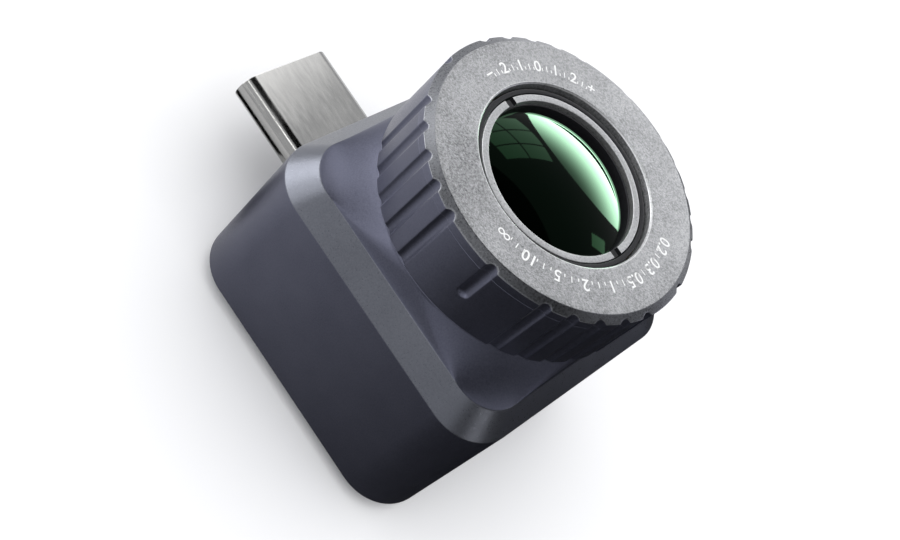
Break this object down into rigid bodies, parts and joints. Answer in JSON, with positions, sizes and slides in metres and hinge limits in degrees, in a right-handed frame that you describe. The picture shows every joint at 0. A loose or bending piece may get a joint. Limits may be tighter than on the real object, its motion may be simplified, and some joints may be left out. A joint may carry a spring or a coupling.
{
  "type": "plug-in thermal imaging camera",
  "caption": "Small square thermal imaging camera that plugs into a phone, with a fluted focus ring round its lens and a grooved rear cover.",
  "frame": {"origin": "on the lens axis, at the flat rear face of the body (the outer face of the badge in the rear cover)", "axes": "+Z along the lens axis, out of the lens; +Y along the USB-C plug, away from the body; +X completes the right-handed frame"},
  "size_m": [0.023, 0.0298, 0.0225],
  "materials": {
    "slate_aluminium": "bead-blasted, dark blue-grey anodised",
    "silver_aluminium": "bead-blasted, clear anodised",
    "nickel_steel": "polished nickel",
    "badge_gloss": "high gloss black",
    "collar_plastic": "satin dark grey",
    "black_plastic": "matt moulded",
    "black_aluminium": "matt black anodised",
    "black_rubber": "matt",
    "circuit_board": "solder-masked glass-epoxy laminate",
    "chip_plastic": "moulded chip resin",
    "bright_steel": "bright stainless",
    "brass": "machined",
    "copper": "rolled copper sheet",
    "gold_contacts": "gold-plated",
    "ceramic": "fired, unglazed",
    "coated_lens": "polished germanium with a green antireflection coating",
    "coated_window": "polished, coated",
    "polyimide": "amber polyimide film",
    "thermal_pad": "soft filled silicone"
  },
  "bodies": {
    "housing": {"main_housing": "slate_aluminium", "rear_cover": "slate_aluminium", "cover_gasket": "black_rubber", "badge_frame": "silver_aluminium", "badge_plate": "badge_gloss", "cover_screw_1": "bright_steel", "cover_screw_2": "bright_steel", "inner_frame": "black_plastic", "main_board": "circuit_board", "board_screw_1": "bright_steel", "board_screw_2": "bright_steel", "board_screw_3": "bright_steel", "board_screw_4": "bright_steel", "shield_can": "bright_steel", "processor_chip": "chip_plastic", "memory_chip": "chip_plastic", "power_chip": "chip_plastic", "power_inductor": "chip_plastic", "board_connector": "collar_plastic", "flex_cable": "polyimide", "heat_spreader": "copper", "thermal_pad": "thermal_pad", "sensor_board": "circuit_board", "sensor_screw_1": "bright_steel", "sensor_screw_2": "bright_steel", "sensor_screw_3": "bright_steel", "detector_package": "ceramic", "detector_window": "coated_window", "shutter_frame": "black_aluminium", "shutter_motor": "bright_steel", "plug_shell": "nickel_steel", "plug_insulator": "black_plastic", "plug_contacts_lower": "gold_contacts", "plug_contacts_upper": "gold_contacts", "plug_collar": "collar_plastic", "plug_gasket": "black_rubber", "guide_key_left": "brass", "guide_key_right": "brass", "stop_pin": "bright_steel", "ring_clip": "bright_steel", "ring_seal": "black_rubber"},
    "focus_ring": {"grip_ring": "slate_aluminium", "front_bezel": "silver_aluminium", "helicoid_ring": "brass", "stop_lug": "bright_steel"},
    "lens_cell": {"lens_barrel": "black_aluminium", "front_lens": "coated_lens", "lens_spacer": "black_aluminium", "retaining_ring": "silver_aluminium", "rear_lens": "coated_lens", "rear_lens_ring": "black_aluminium"},
    "shutter": {"shutter_blade": "black_aluminium"}
  },
  "joints": [
    {"name": "focus_turn", "type": "hinge", "parent": "housing", "child": "focus_ring", "pos_m": [0, 0, 0.0192], "axis": [0, 0, 1], "range_deg": [0, 330]},
    {"name": "lens_slide", "type": "slide", "parent": "housing", "child": "lens_cell", "axis": [0, 0, 1], "range_m": [0, 0.0004583]},
    {"name": "shutter_swing", "type": "hinge", "parent": "housing", "child": "shutter", "pos_m": [0.0066, -0.0064, 0.01185], "axis": [0, 0, 1], "range_deg": [0, 38]}
  ],
  "couplings": [
    {"joint": "focus_turn", "follows": "lens_slide", "rad_per_m": 12566}
  ]
}
